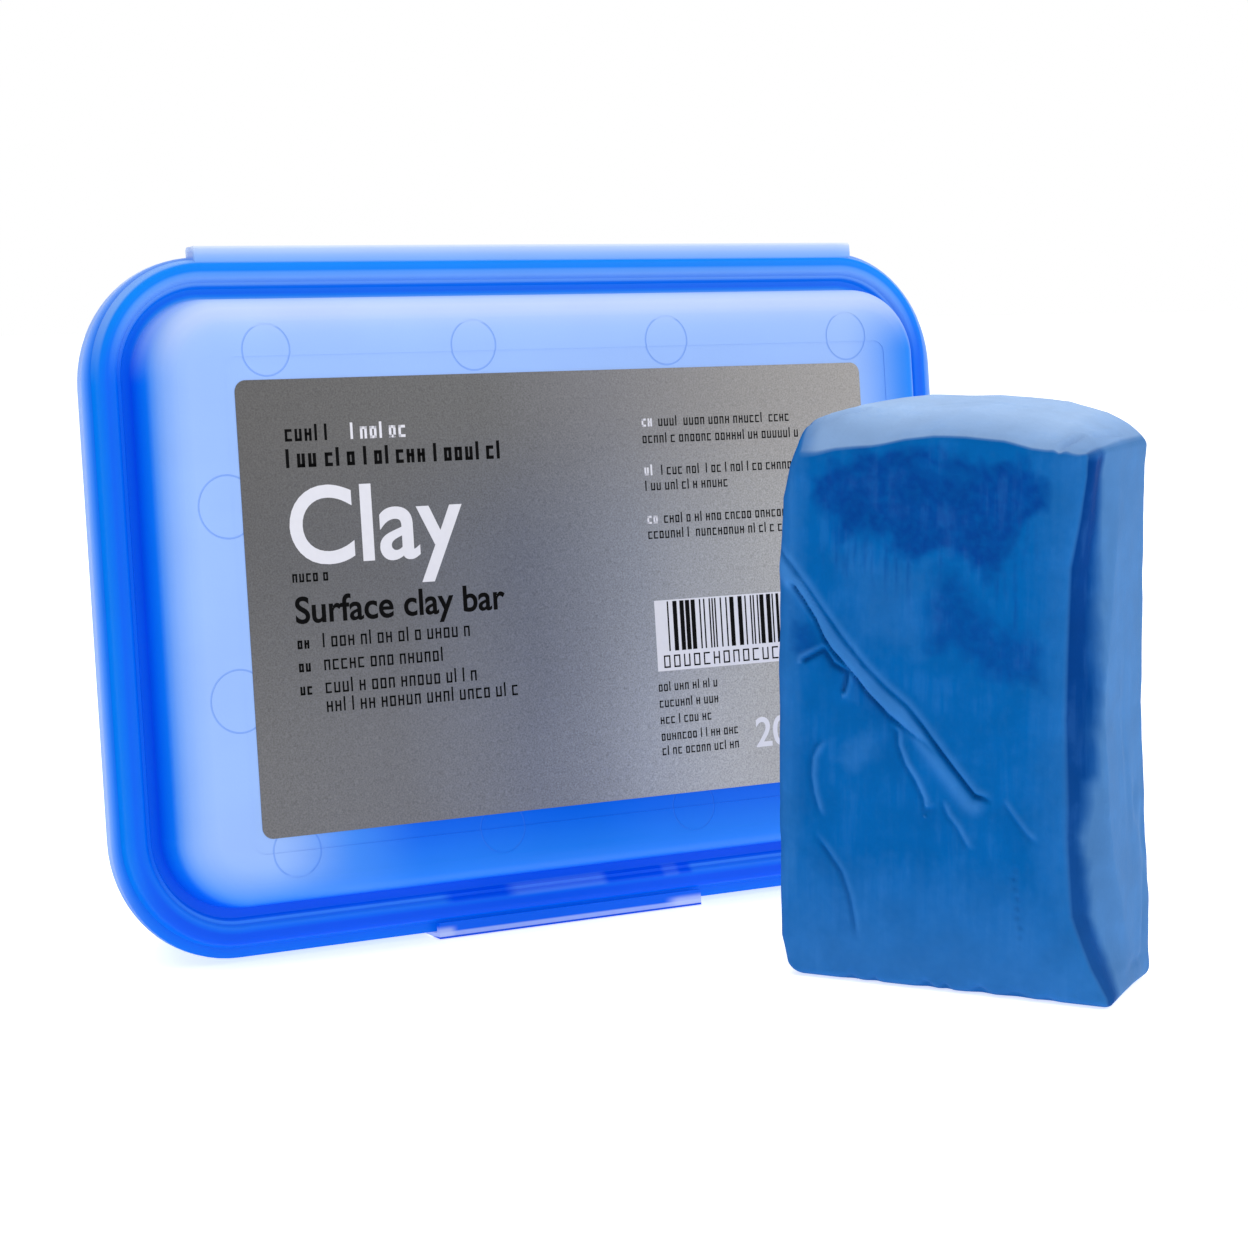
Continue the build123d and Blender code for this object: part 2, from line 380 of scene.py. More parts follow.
def by_inset(tree, inset, stops):
    """A colour ramp whose stops are given by the inset from the rim in millimetres."""
    share = maths(tree, "DIVIDE", maths(tree, "SUBTRACT", inset, RAMP_START), RAMP_LENGTH, clamp=True)
    return ramp(tree, share, [((at - RAMP_START) / RAMP_LENGTH, tint(*colour)) for at, colour in stops])


def case_plastic(name, place_on, transmission, roughness):
    """Translucent blue polypropylene; its colour is still to be linked."""
    made, tree, shader = material(name)
    place = place_group(tree, place_on)
    skin = place_group(tree, MOULDED, Grain=0.5, Flow=0.6)
    wear = place_group(tree, WEAR, Amount=1.0)
    scratched = maths(tree, "MULTIPLY", wear.outputs["Scratches"], 0.10)
    rough = maths(tree, "MULTIPLY_ADD", skin.outputs["Roughness shift"], 0.10, roughness)
    rough = maths(tree, "ADD", rough, scratched)
    wire(tree, shader, Roughness=rough, IOR=PLASTIC_IOR, Transmission_Weight=transmission)
    wire(tree, shader, Normal=bump(tree, skin.outputs["Height"], 0.12, 0.2 * MM))
    shader.inputs["Specular IOR Level"].default_value = PLASTIC_SPECULAR
    return made, tree, shader, place, skin


def coloured(tree, shader, skin, colour):
    """Link a colour with the moulding's faint clouding, part of it given off as painted glow in place of
    light spread inside the wall.
    """
    tone = maths(tree, "MULTIPLY_ADD", skin.outputs["Tone"], CLOUDING, TONE)
    shaded = scaled(tree, colour, tone)
    surface = scaled(tree, shaded, 1.0 - PAINTED_GLOW)
    wire(tree, shader, Base_Color=surface, Emission_Color=shaded, Emission_Strength=PAINTED_GLOW)


def lid_plastic():
    """The lid: saturated steps round the rim, and a panel that is paler at its top and left, all painted
    light: painted shade in the grooves and towards the foot, painted highlights along the top.
    """
    made, tree, shader, place, skin = case_plastic("Lid plastic", LID_PLACE, 0.15, 0.36)
    along, depth, up, inset = (place.outputs[k] for k in ("Along", "Depth", "Up", "Inset"))
    # Painted light by inset from the rim: the sides hold painted shade in the grooves, the top ramp holds
    # painted highlights on the hinge's top edge and the panel's upper part, and the foot ramp holds a bluer
    # painted shade.
    sides = by_inset(tree, inset, [
        (2.0, (0, 133, 243)), (3.0, (0, 119, 242)), (4.3, (0, 105, 241)), (5.6, (0, 112, 242)),
        (7.4, (0, 102, 241)), (8.6, (0, 92, 238)), (9.4, (0, 80, 235)), (9.7, (0, 104, 243)),
        (10.0, (10, 120, 244)), (10.4, (75, 146, 247)), (11.2, (114, 166, 249)), (12.2, (134, 178, 250)),
        (14.0, (149, 187, 250)), (17.0, (159, 194, 251)), (20.0, (158, 193, 251)),
    ])
    top = by_inset(tree, inset, [
        (-0.6, (235, 242, 255)), (0.2, (190, 213, 252)), (1.4, (150, 190, 250)), (2.6, (120, 175, 250)),
        (2.9, (0, 138, 247)), (4.3, (0, 134, 247)), (4.8, (86, 157, 249)), (5.7, (106, 163, 250)),
        (6.7, (98, 158, 248)), (7.3, (14, 126, 245)), (8.4, (0, 112, 245)), (9.0, (14, 136, 250)),
        (9.4, (84, 162, 250)), (9.8, (166, 198, 252)), (10.8, (190, 212, 253)), (12.0, (206, 222, 254)),
        (13.4, (203, 220, 254)), (15.0, (184, 210, 253)), (17.0, (168, 201, 252)), (20.0, (162, 198, 252)),
    ])
    foot = by_inset(tree, inset, [
        (1.8, (30, 130, 245)), (2.3, (0, 112, 242)), (2.9, (0, 92, 238)), (4.6, (0, 90, 238)),
        (5.2, (0, 110, 242)), (5.8, (30, 124, 244)), (6.9, (52, 134, 246)), (7.4, (0, 106, 242)),
        (8.0, (0, 92, 240)), (9.9, (0, 92, 240)), (10.8, (0, 124, 245)), (11.8, (60, 142, 247)),
        (14.0, (92, 158, 248)), (17.0, (128, 177, 250)), (20.0, (150, 188, 251)),
    ])
    colour = blend_colour(tree, step(tree, up, 108.0, 126.0), sides, top)
    colour = blend_colour(tree, step(tree, up, 24.0, 8.0), colour, foot)

    # Painted shade: below the label the panel is painted a deeper blue, as where the wall behind shows
    # through, except at the left.
    panel = step(tree, inset, 10.0, 12.5)
    below = all_of(tree, panel, step(tree, up, 31.0, 25.0), step(tree, along, -70.0, -50.0))
    near_label = blend_colour(tree, step(tree, up, 25.0, 13.0), tint(0, 100, 234), tint(34, 130, 244))
    near_left = blend_colour(tree, step(tree, along, -36.0, -54.0), near_label, tint(66, 142, 245))
    colour = blend_colour(tree, below, colour, near_left)
    # Painted shade: the panel's right end is painted a saturated blue, where the valley behind its edge
    # shows.
    right = all_of(tree, panel, step(tree, along, 66.0, 85.0), step(tree, up, 124.0, 110.0))
    colour = blend_colour(tree, right, colour, tint(20, 134, 243))

    # The thin rings that the mould's pins leave are painted darker: painted shade in their grooves.
    outer = band(tree, depth, -10.47, -10.44, -10.39, -10.36)
    inner = band(tree, depth, -10.32, -10.29, -10.22, -10.2)
    ring = all_of(tree, maths(tree, "MAXIMUM", outer, inner), step(tree, inset, 15.3, 15.8), 0.3)
    colour = blend_colour(tree, ring, colour, tint(60, 130, 235))

    # Painted light: the base's latch, seen behind the bottom rim, is painted as shade on the ridge, with a
    # painted highlight bar and spot.
    ridge = all_of(tree, band(tree, inset, 5.0, 5.8, 7.2, 8.0), step(tree, up, 14.0, 10.0))
    catch_shade = all_of(tree, ridge, band(tree, along, -30.0, -27.0, 26.5, 28.0))
    lit_bar = band(tree, along, -16.0, -12.5, 6.0, 8.0)
    highlight_spot = band(tree, along, 20.0, 21.5, 23.4, 24.8)
    lit = maths(tree, "MAXIMUM", lit_bar, all_of(tree, highlight_spot, 0.6))
    colour = blend_colour(tree, catch_shade, colour, blend_colour(tree, lit, tint(0, 92, 240), tint(70, 130, 246)))
    coloured(tree, shader, skin, colour)
    return made


def base_plastic():
    """The base: a pale frosted flange that deepens to blue at the foot, and a clear blue tub; painted light:
    a painted highlight at the flange's edge, painted shade deepening the foot, and the back painted paler as
    if lit from behind.
    """
    made, tree, shader, place, skin = case_plastic("Base plastic", BASE_PLACE, 0.2, 0.34)
    up, inset, depth = (place.outputs[k] for k in ("Up", "Inset", "Depth"))
    sides = by_inset(tree, inset, [
        (-0.6, (196, 216, 252)), (0.3, (120, 170, 249)), (0.9, (78, 148, 247)), (1.6, (30, 130, 244)),
        (2.6, (20, 124, 244)), (6.0, (60, 138, 246)), (12.0, (90, 155, 248)), (20.0, (115, 170, 250)),
    ])
    foot = by_inset(tree, inset, [
        (0.0, (0, 120, 245)), (2.0, (0, 112, 243)), (6.0, (40, 130, 246)), (20.0, (80, 150, 248)),
    ])
    colour = blend_colour(tree, step(tree, up, 26.0, 6.0), sides, foot)
    # Painted light: the back of the tub is painted paler, as light coming through from behind.
    back = step(tree, depth, 26.0, 32.0)
    colour = blend_colour(tree, all_of(tree, back, 0.6), colour, tint(120, 172, 250))
    coloured(tree, shader, skin, colour)
    return made


def latch_plastic():
    """The latch: the rim's blue above, frosted lavender along its sole, and pale painted highlights at its
    ends.
    """
    made, tree, shader, place, skin = case_plastic("Latch plastic", BASE_PLACE, 0.2, 0.42)
    up, along = place.outputs["Up"], place.outputs["Along"]
    colour = blend_colour(tree, step(tree, up, 1.2, 0.8), tint(0, 104, 241), tint(160, 184, 250))
    # Painted highlights at both ends of the latch.
    ends = maths(tree, "MAXIMUM", step(tree, along, -26.4, -28.6), step(tree, along, 20.4, 24.4))
    ends = all_of(tree, ends, step(tree, up, 2.4, 1.2), 0.7)
    colour = blend_colour(tree, ends, colour, tint(205, 219, 252))
    colour = blend_colour(tree, step(tree, up, 0.22, 0.08), colour, tint(0, 84, 226))
    coloured(tree, shader, skin, colour)
    return made


def film_plastic():
    """The hinge film: thin, nearly clear and glossy."""
    made, tree, shader, _, skin = case_plastic("Hinge film plastic", LID_PLACE, 0.5, 0.22)
    wave = noise_value(tree, object_place(tree), 400.0, 2.0)
    colour = blend_colour(tree, wave, tint(210, 226, 255), tint(232, 240, 255))
    coloured(tree, shader, skin, colour)
    return made


# ---------------------------------------------------------------- label

LABEL_LEFT, LABEL_FOOT = label_low.x, label_low.z


def label_film():
    """Dark metallic film with a painted reflection: darker at the left, lighter to the right and towards the
    lower left, with a fine silver grain.
    """
    made, tree, shader = material("Label film")
    place = place_group(tree, LID_PLACE)
    up, where = place.outputs["Up"], object_place(tree)
    along = maths(tree, "SUBTRACT", place.outputs["Along"], LABEL_LEFT)
    along = maths(tree, "DIVIDE", along, label_high.x - LABEL_LEFT)
    waved = maths(tree, "MULTIPLY_ADD", centred(tree, noise_value(tree, where, 28.0, 2.0)), 0.10, along)
    # Painted reflection: the film is painted lighter from left to right, as the studio's light mirrored in
    # it.
    lower = ramp(tree, waved, [
        (0.0, tint(84, 84, 86)), (0.22, tint(88, 89, 94)), (0.42, tint(98, 102, 114)),
        (0.60, tint(122, 126, 136)), (0.82, tint(148, 148, 149)), (1.0, tint(152, 151, 150)),
    ])
    upper = ramp(tree, waved, [
        (0.0, tint(84, 83, 83)), (0.35, tint(92, 92, 93)), (0.55, tint(108, 108, 112)),
        (0.8, tint(132, 130, 129)), (1.0, tint(142, 139, 137)),
    ])
    colour = blend_colour(tree, step(tree, up, 70.0, 104.0), lower, upper)
    # Painted reflection: lighter towards the lower left of the label.
    foot_glare = all_of(tree, step(tree, up, 82.0, 28.0), step(tree, along, 0.95, 0.6))
    colour = scaled(tree, colour, maths(tree, "MULTIPLY_ADD", foot_glare, 0.42, 1.0))
    fine = noise_value(tree, where, 3400.0, 1.0)
    colour = scaled(tree, colour, maths(tree, "MULTIPLY_ADD", centred(tree, fine), 1.1, 1.0))
    rough = maths(tree, "MULTIPLY_ADD", centred(tree, fine), 0.4, 0.5)
    wire(tree, shader, Base_Color=colour, Roughness=rough, Metallic=0.35)
    wire(tree, shader, Normal=bump(tree, fine, 0.15, 0.1 * MM))
    return made


def ink(name, colour, roughness):
    """Printing ink on the film, slightly mottled."""
    made, tree, shader = material(name)
    mottle = noise_value(tree, object_place(tree), 900.0, 3.0)
    lighter = tuple(min(1.0, c * 1.08 + 0.004) for c in colour[:3]) + (1.0,)
    rough = maths(tree, "MULTIPLY_ADD", mottle, 0.12, roughness)
    wire(tree, shader, Base_Color=blend_colour(tree, mottle, colour, lighter), Roughness=rough)
    wire(tree, shader, Normal=bump(tree, mottle, 0.1, 0.05 * MM))
    shader.inputs["Specular IOR Level"].default_value = 0.03
    return made


wear_material(nodes["case_lid"], lid_plastic())
wear_material(nodes["case_base"], base_plastic())
wear_material(nodes["latch_tab"], latch_plastic())
wear_material(nodes["lid_label"], label_film())

PRINT_FRONT = label_low.y - 0.02            # ink stands proud of the film and is let into it a little
PRINT_BACK = label_low.y + 0.01


def stroke(x, z, width, height, front=PRINT_FRONT):
    """One printed rectangle on the label, from the label's lower left corner."""
    low = (LABEL_LEFT + x, front, LABEL_FOOT + z)
    high = (LABEL_LEFT + x + width, PRINT_BACK, LABEL_FOOT + z + height)
    return low, high


def printed(name, boxes, surface):
    """One mesh of printed rectangles, each a copy of the same small block."""
    pattern = block((0, 0, 0), (1, 1, 1))
    copies = []
    for low, high in boxes:
        copy = pattern.copy()
        copy.data = pattern.data.copy()
        size = [b - a for a, b in zip(low, high)]
        copy.data.transform(Matrix.Translation(low) @ Matrix.Diagonal((*size, 1.0)))
        bpy.context.collection.objects.link(copy)
        copies.append(copy)
    bpy.data.objects.remove(pattern)
    piece = joined(copies)
    wear_material(piece, surface)
    return finished(piece, name, CASE_TO_ROW)


TALL_STEM = 1.35            # a lone stem is taller than the other marks
CROSSBAR = 0.45             # height of a middle bar, as a share of the mark
MARK_WIDTH = 0.62           # a mark's width, as a share of its height
MARK_PITCH = 1.42           # from mark to mark, in widths
WORD_GAP = 0.7


def mark(rng, x, z, width, height, weight):
    """A made-up mark the size of a letter: one or two stems joined by short bars."""
    kind = rng.randrange(6)
    if kind == 0:
        return [stroke(x, z, weight, height * TALL_STEM)]
    boxes = [stroke(x, z, weight, height)]
    if kind != 1:
        boxes.append(stroke(x + width - weight, z, weight, height))
    if kind in (1, 2, 4):
        boxes.append(stroke(x, z + height - weight, width, weight))
    if kind in (1, 3, 4):
        boxes.append(stroke(x, z, width, weight))
    if kind == 5:
        boxes.append(stroke(x, z + height * CROSSBAR, width, weight))
    return boxes


def marks(rng, x_start, x_end, z, height, weight):
    """A line of made-up marks in words."""
    boxes, x, left = [], x_start, rng.randrange(3, 9)
    width = height * MARK_WIDTH
    while x + width <= x_end:
        boxes += mark(rng, x, z, width, height, weight)
        x += width * MARK_PITCH
        left -= 1
        if left == 0:
            x += width * WORD_GAP
            left = rng.randrange(3, 10)
    return boxes


def words(name, body, x, z, size, boldness, surface):
    """Generic lettering as a thin mesh, with its baseline at z and its left edge at x."""
    bpy.ops.object.text_add()
    piece = bpy.context.active_object
    piece.data.body = body
    piece.data.size = size
    piece.data.offset = boldness
    piece.data.extrude = (PRINT_BACK - PRINT_FRONT) / 2
    piece.data.resolution_u = 8
    bpy.ops.object.convert(target="MESH")
    piece = bpy.context.active_object
    across = min(v.co.x for v in piece.data.vertices)
    stand = Matrix.Translation((LABEL_LEFT + x - across, (PRINT_FRONT + PRINT_BACK) / 2, LABEL_FOOT + z))
    wear_material(piece, surface)
    return finished(piece, name, CASE_TO_ROW @ stand @ Matrix.Rotation(math.pi / 2, 4, "X"))


dark_ink = ink("Black ink", tint(3, 3, 4), 0.5)
pale_ink = ink("White ink", tint(206, 206, 214), 0.45)
rng = random.Random(7)
dark_boxes, pale_boxes = [], []

# Lines of made-up marks: each one's ends, its height on the label, its letter height and its stroke.
dark_boxes += marks(rng, 9.5, 22.0, 73.2, 2.3, 0.52)
pale_boxes += marks(rng, 23.0, 36.1, 73.2, 2.3, 0.52)
dark_boxes += marks(rng, 9.4, 56.1, 68.3, 2.6, 0.66)
dark_boxes += marks(rng, 9.2, 17.7, 47.0, 1.6, 0.35)
for x_end, z, tagged in ((46.3, 34.6, True), (41.0, 30.3, True), (46.8, 26.0, True), (55.6, 22.5, False)):
    if tagged:
        dark_boxes += marks(rng, 9.4, 13.0, z, 1.6, 0.4)
    dark_boxes += marks(rng, 14.6, x_end, z, 2.0, 0.34)
for first_end, second_end, z, second_z in (
    (123.5, 125.0, 73.3, 70.0), (124.0, 107.8, 63.6, 60.6), (124.0, 122.0, 54.0, 51.0),
):
    pale_boxes += marks(rng, 87.1, 90.0, z, 1.6, 0.4)
    dark_boxes += marks(rng, 91.0, first_end, z, 1.5, 0.27)
    dark_boxes += marks(rng, 87.1, second_end, second_z, 1.5, 0.27)
for x_end, z in ((102.3, 20.6), (101.6, 17.4), (99.4, 14.1), (106.6, 10.8), (105.7, 7.9)):
    dark_boxes += marks(rng, 87.4, x_end, z, 1.4, 0.25)

# A made-up stripe pattern on a white panel, with a row of marks under it.
STRIPE = 0.33               # width of the narrowest stripe
STRIPES_FOOT = LABEL_FOOT + 28.0
panel_box = stroke(87.5, 24.6, 38.0, 14.1)
bar_front = PRINT_FRONT - 0.015
x, bar_boxes = 90.4, []
while x < 122.5:
    width = STRIPE * rng.choice((1, 1, 2, 1, 3))
    bar_boxes.append(stroke(x, 28.5, width, 9.9, bar_front))
    x += width + STRIPE * rng.choice((1, 1, 2, 2, 3))
x = 89.0
while x < 122.0:
    for low, high in mark(rng, x, 25.2, 1.5, 2.5, 0.3):
        bar_boxes.append(((low[0], bar_front, low[2]), (high[0], high[1], min(high[2], STRIPES_FOOT))))
    x += 2.35

prints = [
    printed("label_print_dark", dark_boxes + bar_boxes, dark_ink),
    printed("label_print_pale", pale_boxes + [panel_box], pale_ink),
    words("label_word_big", "Clay", 9.3, 50.5, 20.4, 0.3, pale_ink),
    words("label_word_bold", "Surface clay bar", 9.4, 39.4, 7.0, 0.12, dark_ink),
    words("label_weight", "200 g", 109.8, 7.7, 8.4, 0.12, pale_ink),
]
for piece in prints:
    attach(piece, "lid_half")


# ---------------------------------------------------------------- hinge film

FILM_END_GAP = 0.05
GROOVE_ABOVE, GROOVE_BELOW = 0.12, 0.06     # how far the film's middle is hollowed


def hinge_film():
    """Thin living hinge: a strip with a shallow flexing groove, ruled finely across."""
    inset = Vector((FILM_END_GAP, 0.0, 0.0))
    piece = block(film_low + inset, film_high - inset)
    cut_along(piece, 1, 15)
    cut_along(piece, 0, 9)
    half = (film_high.y - film_low.y) / 2
    middle = (film_high.y + film_low.y) / 2
    for vertex in piece.data.vertices:
        share = 1.0 - ((vertex.co.y - middle) / half) ** 2
        lifted = vertex.co.z > (film_low.z + film_high.z) / 2
        vertex.co.z += (-GROOVE_ABOVE if lifted else GROOVE_BELOW) * share
    wear_material(piece, film_plastic())
    piece = finished(smooth(piece, 50), "hinge_strip", CASE_TO_ROW)
    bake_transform(piece)
    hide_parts("hinge_film")


hinge_film()


# ---------------------------------------------------------------- clay bar

CLAY_TURN = math.radians(-57.19)
FRONT_RUN = np.array([math.cos(CLAY_TURN), math.sin(CLAY_TURN), 0.0])
INWARD = np.array([-FRONT_RUN[1], FRONT_RUN[0], 0.0])
UPWARD = np.array([0.0, 0.0, 1.0])
LEFT_OVERHANG = 2.0         # the hand-pressed left edge bulges past the plain block
clay_points = np.array([v.co[:] for v in nodes["clay_bar"].data.vertices]) / MM
clay_left = (clay_points @ FRONT_RUN).min() + LEFT_OVERHANG
CLAY_ORIGIN = FRONT_RUN * clay_left + INWARD * (clay_points @ INWARD).min()
CLAY_SIZE = np.array([58.0, 28.5, 105.0])

# Heights up the bar, and there the position of its left, front right and back right edges.
EDGE_HEIGHTS = [0, 2, 7, 16, 30, 51, 78, 88, 94, 98, 101, 105]
LEFT_EDGE = [0.9, -0.6, -2.1, -2.4, -2.6, -2.8, -2.9, -2.2, -0.7, 0.9, 1.6, 2.6]
RIGHT_FRONT = [62.4, 61.9, 58.8, 54.6, 52.9, 52.3, 53.4, 55.6, 56.7, 56.8, 56.2, 55.0]
RIGHT_BACK = [60.6, 61.0, 60.8, 60.8, 59.9, 58.4, 58.3, 58.1, 58.0, 58.2, 57.8, 57.0]
# Shares of the way along the bar, and there the height of the crown's front and back edges.
FRONT_TOP_ALONG = [0.0, 0.06, 0.14, 0.26, 0.37, 0.47, 0.58, 0.71, 0.8, 0.95, 1.0]
FRONT_TOP = [95.2, 95.9, 97.6, 98.5, 99.9, 100.7, 100.7, 100.2, 99.0, 98.2, 98.8]
BACK_TOP_ALONG = [0.0, 0.05, 0.12, 0.25, 0.5, 0.75, 0.88, 0.95, 1.0]
BACK_TOP = [102.4, 103.4, 104.9, 106.0, 106.2, 105.4, 103.6, 101.6, 99.6]
CROWN_STEEPNESS_ALONG = [0.0, 0.05, 0.14, 0.3, 0.8, 1.0]
CROWN_STEEPNESS = [20.0, 12.0, 5.0, 2.4, 2.2, 3.0]

# Heights up the bar, and there how far in the slanting part of the right side reaches.
SLANT_HEIGHTS = [0, 13, 25, 36, 54, 79, 97]
SLANT_REACH = [20, 11, 6, 4.0, 4.2, 9.0, 13.0]
CHANNEL_REACH = [18, 10.5, 5.7, 3.8, 3.9, 8.5, 12.0]
SLANT_DEPTH = 29.0
BELLY = 0.5                 # the front swells by this much, the back by less
BACK_BELLY = 0.3


def clay_shape(points):
    """Turn points of a plain block into the hand-pressed bar: along, inward and up, in millimetres."""
    height = points[:, 2]
    rounding = np.stack([
        np.interp(height, [0, 12, 92, 105], [1.8, 2.6, 2.6, 3.4]),
        np.interp(height, [0, 12, 90, 102], [2.4, 3.0, 3.0, 1.6]),
        np.interp(height, [0, 50, 60, 105], [1.8, 1.8, 1.5, 1.5]),
    ], axis=1)
    inner = np.clip(points, rounding, CLAY_SIZE - rounding)
    offset = (points - inner) / rounding
    reach = np.linalg.norm(offset, axis=1, keepdims=True)
    rounded = inner + rounding * offset / np.maximum(reach, 1e-9)
    s, q, h = (rounded / CLAY_SIZE).T
    front_top = np.interp(s, FRONT_TOP_ALONG, FRONT_TOP)
    back_top = np.interp(s, BACK_TOP_ALONG, BACK_TOP)
    rise = 1 - (1 - np.clip(q, 0, 1)) ** np.interp(s, CROWN_STEEPNESS_ALONG, CROWN_STEEPNESS)
    top = front_top + (back_top - front_top) * rise
    up = h * top
    left = np.interp(up, EDGE_HEIGHTS, LEFT_EDGE) + q * 1.0
    right_front = np.interp(up, EDGE_HEIGHTS, RIGHT_FRONT)
    right_back = np.interp(up, EDGE_HEIGHTS, RIGHT_BACK)
    turned = np.clip(q * SLANT_DEPTH / np.interp(up, SLANT_HEIGHTS, SLANT_REACH), 0, 1)
    right = right_front + (right_back - right_front) * turned ** 0.8
    along = left + (right - left) * s
    belly = BELLY * np.sin(math.pi * np.clip(h, 0, 1)) * np.sin(math.pi * np.clip(s, 0, 1))
    inward = q * CLAY_SIZE[1] - belly * (1 - q) + BACK_BELLY * belly * q
    return np.stack([along, inward, up], axis=1)


def distance_to(line, along, up):
    """Distance to a polyline, its signed side, and the share of its length, for many points at once."""
    line = np.array(line, float)
    runs = np.diff(line, axis=0)
    lengths = np.linalg.norm(runs, axis=1)
    starts = np.concatenate([[0.0], np.cumsum(lengths)])
    best = np.full(along.shape, 1e9)
    side = np.zeros(along.shape)
    share = np.zeros(along.shape)
    for i, run in enumerate(runs):
        da, du = along - line[i, 0], up - line[i, 1]
        t = np.clip((da * run[0] + du * run[1]) / lengths[i] ** 2, 0, 1)
        away = np.hypot(da - t * run[0], du - t * run[1])
        nearer = away < best
        best = np.where(nearer, away, best)
        side = np.where(nearer, np.sign(run[0] * du - run[1] * da), side)
        share = np.where(nearer, (starts[i] + t * lengths[i]) / starts[-1], share)
    return best, side, share


def field(points, scale, seed, detail=3):
    """Smooth noise from about -1 to 1 at many points, coarse features of the given size."""
    shift = Vector((seed * 17.3, seed * 5.1, seed * 9.7))
    return np.array([noise.fractal(Vector(p) / scale + shift, 1.0, 2.0, detail) for p in points])


def gauss(value, width):
    """A bell curve, 1 at 0."""
    return np.exp(-((value / width) ** 2))


# Creases of the front face as lines of (along, up).
FOLD_UPPER = [(-3.5, 79.5), (0.2, 75.8), (3.4, 72.0), (6.7, 67.8), (10.1, 63.6), (14.4, 58.8),
              (18.9, 54.7), (22.9, 51.7), (26.0, 48.3), (29.1, 44.5), (32.6, 40.4), (36.1, 36.4),
              (37.9, 36.0), (39.3, 35.3)]
FOLD_LOWER = [(0.0, 73.4), (2.8, 69.8), (5.2, 66.6), (6.8, 63.4), (8.5, 61.0), (12.1, 57.7), (15.5, 53.6),
              (19.5, 49.8), (23.5, 47.2), (26.5, 45.4), (29.4, 42.8)]
TEAR = [(3.1, 58.8), (5.2, 60.0), (6.8, 60.9), (8.6, 58.4), (11.5, 57.1), (11.3, 55.4), (10.8, 53.8)]
CURL_LEFT = [(7.3, 45.3), (5.6, 43.3), (4.6, 41.2), (4.4, 37.7), (4.9, 34.5), (5.9, 31.3), (6.7, 29.8)]
CURL_MIDDLE = [(19.5, 48.2), (21.1, 46.8), (21.3, 44.5), (22.7, 41.1), (24.6, 38.3), (26.2, 35.2),
               (26.6, 33.0), (29.3, 33.6)]
CURL_RIGHT = [(29.6, 35.1), (30.8, 32.5), (32.6, 30.4), (34.1, 27.8), (35.1, 26.1)]
ARC_LOW = [(4.9, 26.9), (7.5, 24.0), (10.5, 20.2), (12.1, 16.1), (13.1, 11.5), (13.6, 7.8)]
PLEAT = [(43.3, 25.8), (43.9, 23.6), (43.5, 21.4), (44.4, 18.2), (44.2, 15.5), (45.0, 12.9), (44.7, 9.2)]
SCAR = [(40.9, 36.0), (42.8, 33.5), (45.7, 30.1), (47.6, 28.5)]


def clay_creases(along, up):
    """How far the front face stands in (positive) from its smooth shape, crease by crease."""
    push = np.zeros(along.shape)

    # The fold's upper edge: a furrow with a lip above it and the rolled fold below it.
    away, side, share = distance_to(FOLD_UPPER, along, up)
    fade = np.clip(np.minimum(share / 0.05, (1 - share) / 0.04), 0, 1)
    late = np.clip((share - 0.62) / 0.15, 0, 1)
    push += fade * (0.35 + 0.55 * late) * gauss(away, 0.38)
    push -= fade * 0.32 * gauss(away - 0.9, 0.7) * (side > 0)
    push -= fade * (0.75 - 0.35 * late) * gauss(away - 1.8, 1.4) * (side < 0)

    # The fold's lower edge, deepest at the left and running out at the right.
    away, side, share = distance_to(FOLD_LOWER, along, up)
    fade = np.clip(np.minimum(share / 0.04, (1 - share) / 0.4), 0, 1)
    push += fade * 1.0 * gauss(away, 0.48)
    push -= fade * 0.50 * gauss(away - 1.0, 0.9) * (side > 0)
    push += fade * 0.35 * gauss(away, 3.0) * (side < 0)

    # A short tear, then fine curls with a raised lip on one side.
    away, side, share = distance_to(TEAR, along, up)
    push += 0.75 * gauss(away, 0.42)
    push -= 0.40 * gauss(away - 0.9, 0.6) * (side > 0)
    for line, depth, lip in (
        (CURL_LEFT, 0.272, 0.42), (CURL_MIDDLE, 0.34, 0.51), (CURL_RIGHT, 0.238, 0.36),
        (ARC_LOW, 0.442, 0.24), (SCAR, 0.204, 0.27),
    ):
        away, side, share = distance_to(line, along, up)
        fade = np.clip(np.minimum(share, 1 - share) / 0.15, 0, 1)
        push += fade * depth * gauss(away, 0.45)
        push -= fade * lip * gauss(away - 0.85, 0.55) * (side > 0)
        push += fade * 0.12 * gauss(away - 2.0, 1.8) * (side < 0)

    # A row of small pleats beside the front right edge.
    away, side, share = distance_to(PLEAT, along, up)
    fade = np.clip(np.minimum(share, 1 - share) / 0.2, 0, 1)
    push += fade * 0.28 * gauss(away, 0.5) * (0.5 + 0.5 * np.sin(share * 60))
    return push


CLAY_CUTS = ((9, 12), (39,), (9, 23))      # subdivisions along, inward and up
SOFT_EDGE = 2.5             # how far from an edge a face's own dents fade in
CROWN_EDGE = 0.6            # how far down from its edge the crown's painted sheen reaches
HALF_EXTENT = np.array([29.0, 14.0, 52.0])
BROAD_WAVE, SMALL_WAVE = 0.32, 0.06

# Dents of the right side: inward, up, half width, half height and depth.
SIDE_DENTS = [
    (24.0, 27.0, 3.0, 5.0, 0.9), (20.0, 34.0, 2.0, 4.0, 0.7), (22.0, 12.0, 1.6, 7.0, 0.6),
    (15.0, 45.0, 1.2, 12.0, 0.25), (26.0, 20.0, 1.4, 3.0, 0.5), (18.0, 5.0, 5.0, 1.0, 0.6),
]

